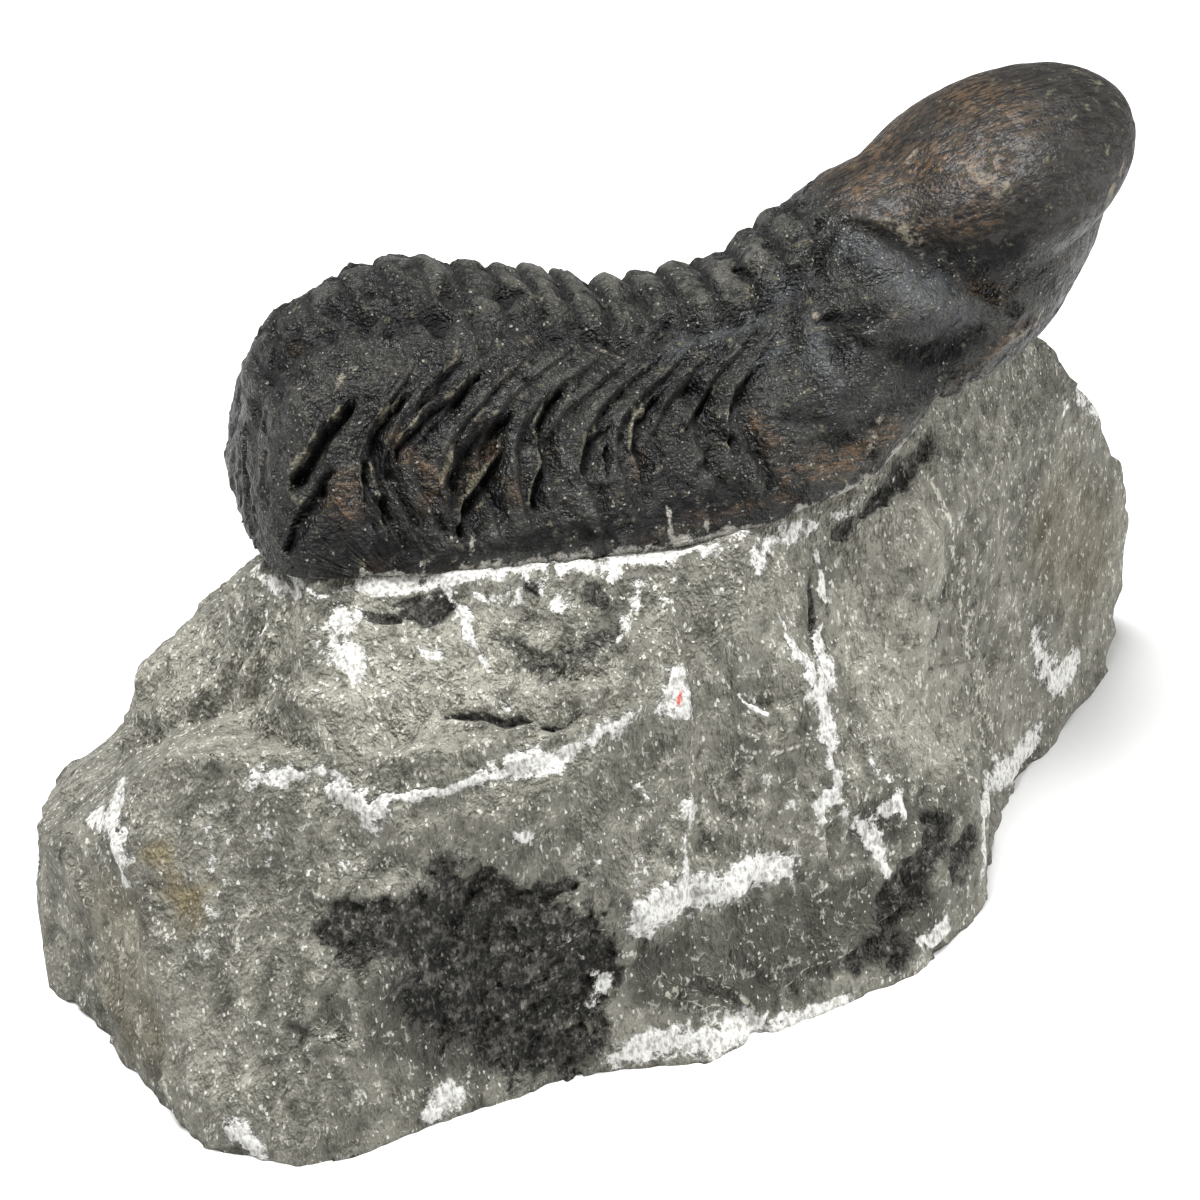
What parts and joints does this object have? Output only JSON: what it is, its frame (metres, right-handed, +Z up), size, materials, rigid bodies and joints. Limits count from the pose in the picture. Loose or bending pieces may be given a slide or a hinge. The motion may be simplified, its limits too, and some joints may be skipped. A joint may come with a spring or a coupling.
{
  "type": "trilobite fossil",
  "caption": "Black trilobite with a domed head, ringed back and swept side plates, lying arched on a rough grey limestone block with a flat underside",
  "frame": {"origin": "centre of the bounding box, on the flat underside of the rock", "axes": "+X from the tail of the trilobite to its head, +Z up, +Y to the trilobite's left, away from its near side"},
  "size_m": [0.0818, 0.0516, 0.0504],
  "materials": {
    "fossil_calcite": "satin black calcite with brown patches and fine pale specks",
    "limestone": "matt grey broken limestone with chalky white bruises"
  },
  "bodies": {
    "root": {"trilobite": "fossil_calcite", "matrix": "limestone"}
  },
  "joints": []
}
